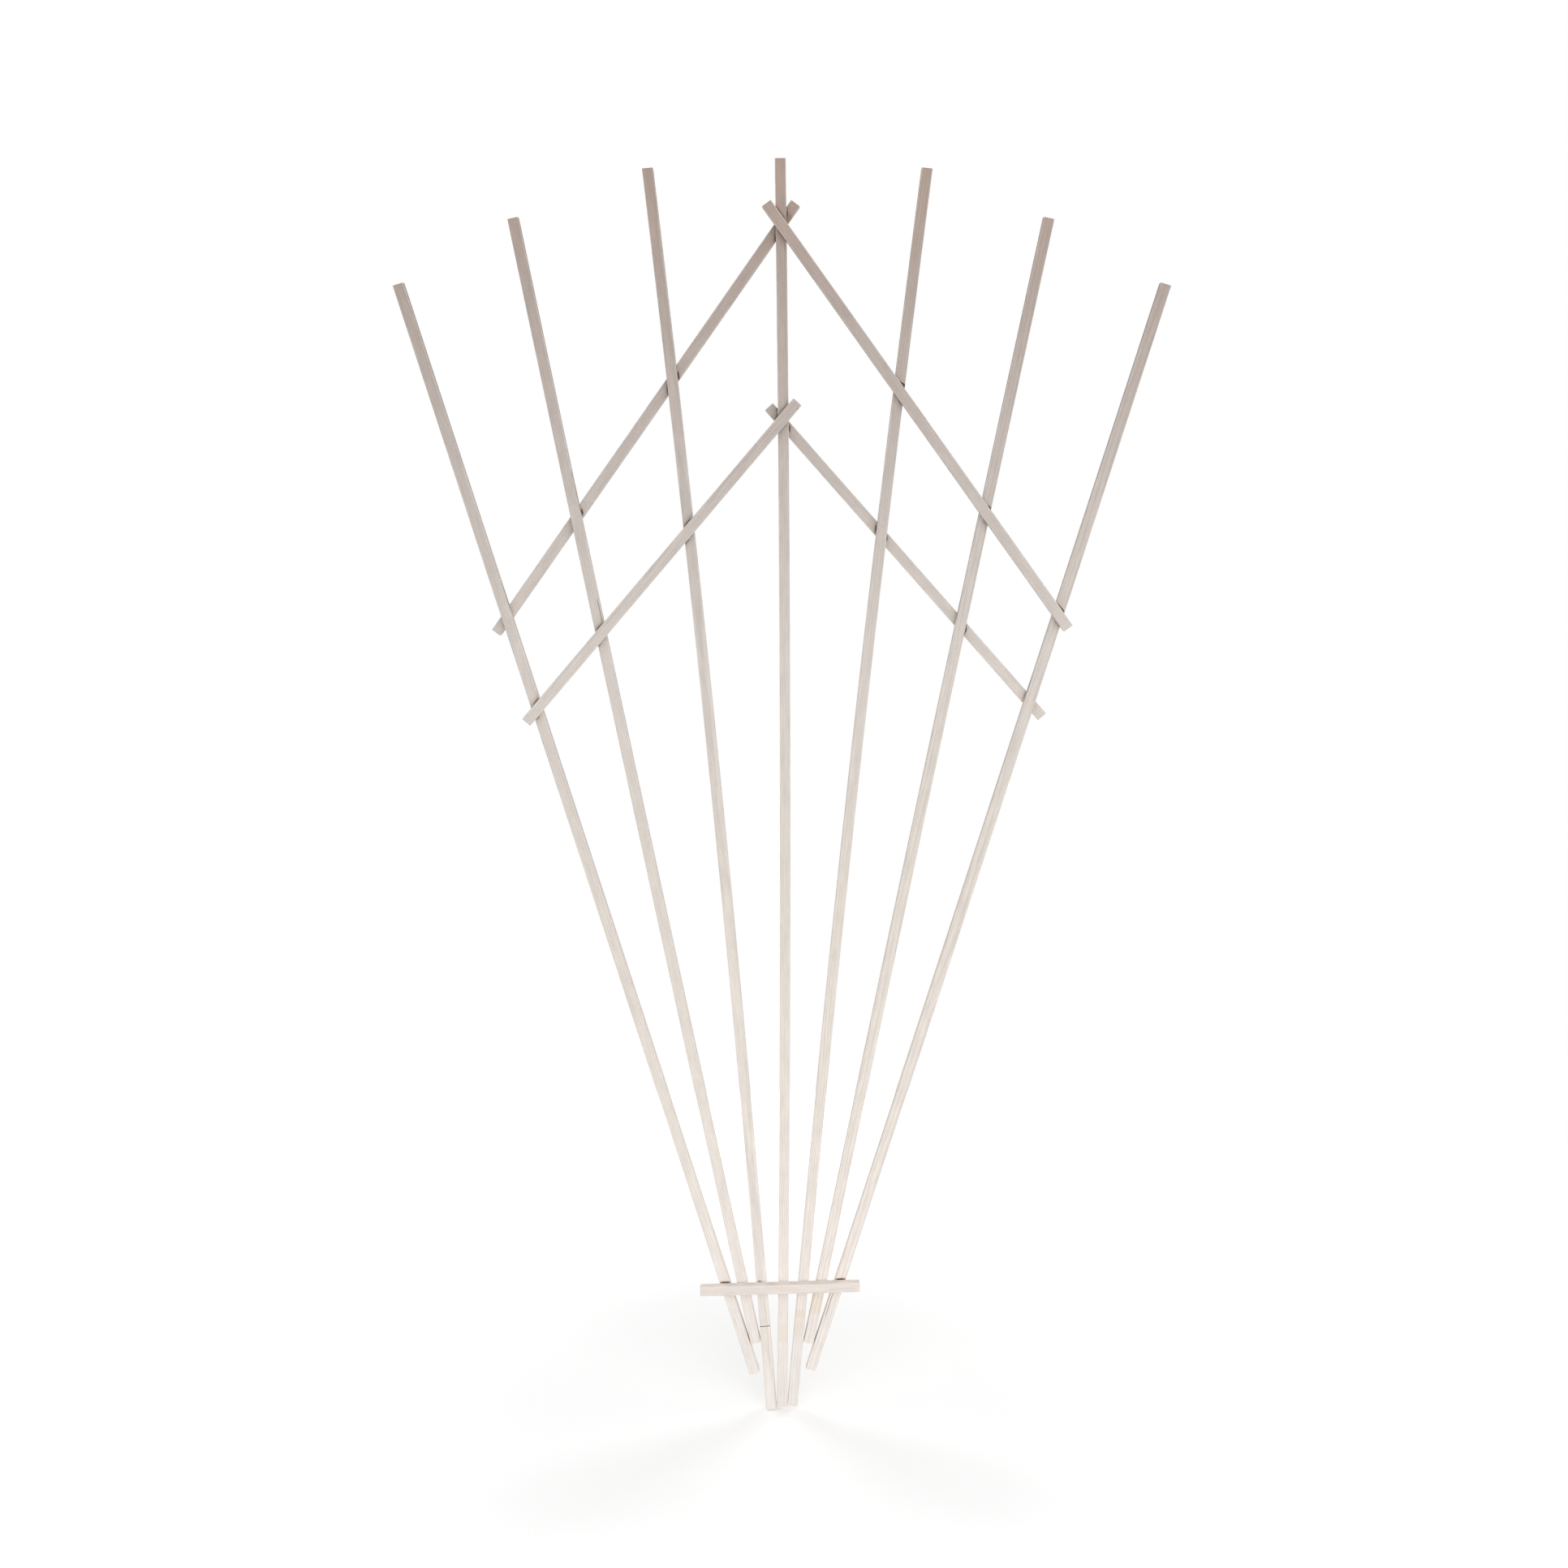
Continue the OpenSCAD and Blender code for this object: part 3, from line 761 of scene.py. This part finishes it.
# The studio
# A plain pale floor in a white surround that lights the frame from all round, broad lamps at both
# sides, in front and overhead, a low one in front for the foot, and two behind for the back.
FLOOR_HALF, FLOOR_LEVEL = 1.6, -0.0005
ways_out = ((-1, -1), (1, -1), (1, 1), (-1, 1))
corners = [(x * FLOOR_HALF, y * FLOOR_HALF, FLOOR_LEVEL) for x, y in ways_out]
floor_mesh = bpy.data.meshes.new("floor")
floor_mesh.from_pydata(corners, [], [(0, 1, 2, 3)])
floor = bpy.data.objects.new("floor", floor_mesh)
bpy.context.scene.collection.objects.link(floor)


def seen_white(tree, place):
    """1 for rays from the camera, off a mirror or through glass, which all see the white."""
    path = add(tree, "ShaderNodeLightPath", place)
    seen = path.outputs["Is Camera Ray"]
    for step, ray in enumerate(("Is Glossy Ray", "Is Transmission Ray")):
        seen = calc(tree, (place[0] + 200 + 200 * step, place[1]), "MAXIMUM", seen, path.outputs[ray])
    return seen


def choose(tree, place, factor, first, second):
    """Shader that is the first where the factor is 0 and the second where it is 1."""
    mix = add(tree, "ShaderNodeMixShader", place)
    for socket, value in zip(mix.inputs, (factor, first.outputs[0], second.outputs[0])):
        feed(tree, socket, value)
    return mix.outputs[0]


# Seen directly, the floor glows a little at the foot and more further out, so that it runs into
# the white: the distances from the foot, and the strengths there.
FLOOR_GLOW = (0.3, 1.2, 0.305, 0.6)
floor_paint = bpy.data.materials.new("pale_floor")
floor_paint.use_nodes = True
tree = floor_paint.node_tree
tree.nodes.clear()
lit = add(tree, "ShaderNodeBsdfDiffuse", (0, -200), in_Color=(0.80, 0.79, 0.78, 1))
shadowed = add(tree, "ShaderNodeBsdfDiffuse", (-200, 0), in_Color=(0.8, 0.8, 0.8, 1))
where = add(tree, "ShaderNodeTexCoord", (-800, 150)).outputs["Object"]
away = add(tree, "ShaderNodeVectorMath", (-600, 150), operation="LENGTH")
feed(tree, away.inputs[0], where)
glow = add(tree, "ShaderNodeEmission", (-200, 150))
strength = spread(tree, (-400, 150), away.outputs["Value"], *FLOOR_GLOW)
feed(tree, glow.inputs["Strength"], strength)
seen = add(tree, "ShaderNodeAddShader", (0, 100))
feed(tree, seen.inputs[0], glow.outputs[0])
feed(tree, seen.inputs[1], shadowed.outputs[0])
out = add(tree, "ShaderNodeOutputMaterial", (600, 0))
feed(tree, out.inputs["Surface"], choose(tree, (400, 0), seen_white(tree, (-700, 400)), lit, seen))
floor_mesh.materials.append(floor_paint)

AMBIENT = 0.265
world = bpy.data.worlds.new("white_surround")
world.use_nodes = True
bpy.context.scene.world = world
tree = world.node_tree
tree.nodes.clear()
dim = add(tree, "ShaderNodeBackground", (200, -100), in_Color=(1, 1, 1, 1), in_Strength=AMBIENT)
white = add(tree, "ShaderNodeBackground", (200, 100), in_Color=(1, 1, 1, 1), in_Strength=1)
out = add(tree, "ShaderNodeOutputWorld", (600, 0))
feed(tree, out.inputs["Surface"], choose(tree, (400, 0), seen_white(tree, (-500, 300)), dim, white))


def soft_lamp(title, place, aim, side, watts):
    """A square area lamp at a place, turned to face a point."""
    lamp = bpy.data.lights.new(title, "AREA")
    lamp.size = side
    lamp.energy = watts
    holder = bpy.data.objects.new(title, lamp)
    holder.location = place
    way = np.array(aim) - np.array(place)
    holder.rotation_euler = (math.atan2(math.hypot(*way[:2]), -way[2]), 0, math.atan2(-way[0], way[1]))
    bpy.context.scene.collection.objects.link(holder)


soft_lamp("left_lamp", (-2.0, -2.9, 1.7), (0, 0, 0.7), 2.0, 10)
soft_lamp("right_lamp", (2.0, -2.9, 1.4), (0, 0, 0.6), 2.0, 19)
soft_lamp("low_front_lamp", (0.5, -3.2, 0.5), (0, 0, 0.3), 1.4, 26)
soft_lamp("front_lamp", (0.1, -3.6, 2.3), (0, 0, 1.1), 3.0, 46)
soft_lamp("overhead_lamp", (0.2, -1.6, 3.7), (0, 0, 0.9), 3.6, 22)
soft_lamp("back_left_lamp", (-2.6, 2.6, 1.6), (0, 0, 0.8), 2.0, 62)
soft_lamp("back_right_lamp", (2.6, 2.6, 1.6), (0, 0, 0.8), 2.0, 62)


# The camera
# At chest height in front of the frame and tipped a little down, as in the photograph. Its focal
# length is given in pixels of a picture that is as wide as the photograph.
PHOTO_PIXELS = 1932
FOCAL_PIXELS = 2631.36
TIPPED_DOWN = math.radians(8.726)
camera = bpy.data.cameras.new("camera")
camera.sensor_width = 36
camera.lens = camera.sensor_width * FOCAL_PIXELS / PHOTO_PIXELS
eye = bpy.data.objects.new("camera", camera)
eye.location = (0.00285, -3.0, 1.40)
eye.rotation_euler = (math.radians(90) - TIPPED_DOWN, 0, 0)
bpy.context.scene.collection.objects.link(eye)
bpy.context.scene.camera = eye
bpy.context.scene.view_settings.view_transform = "Standard"
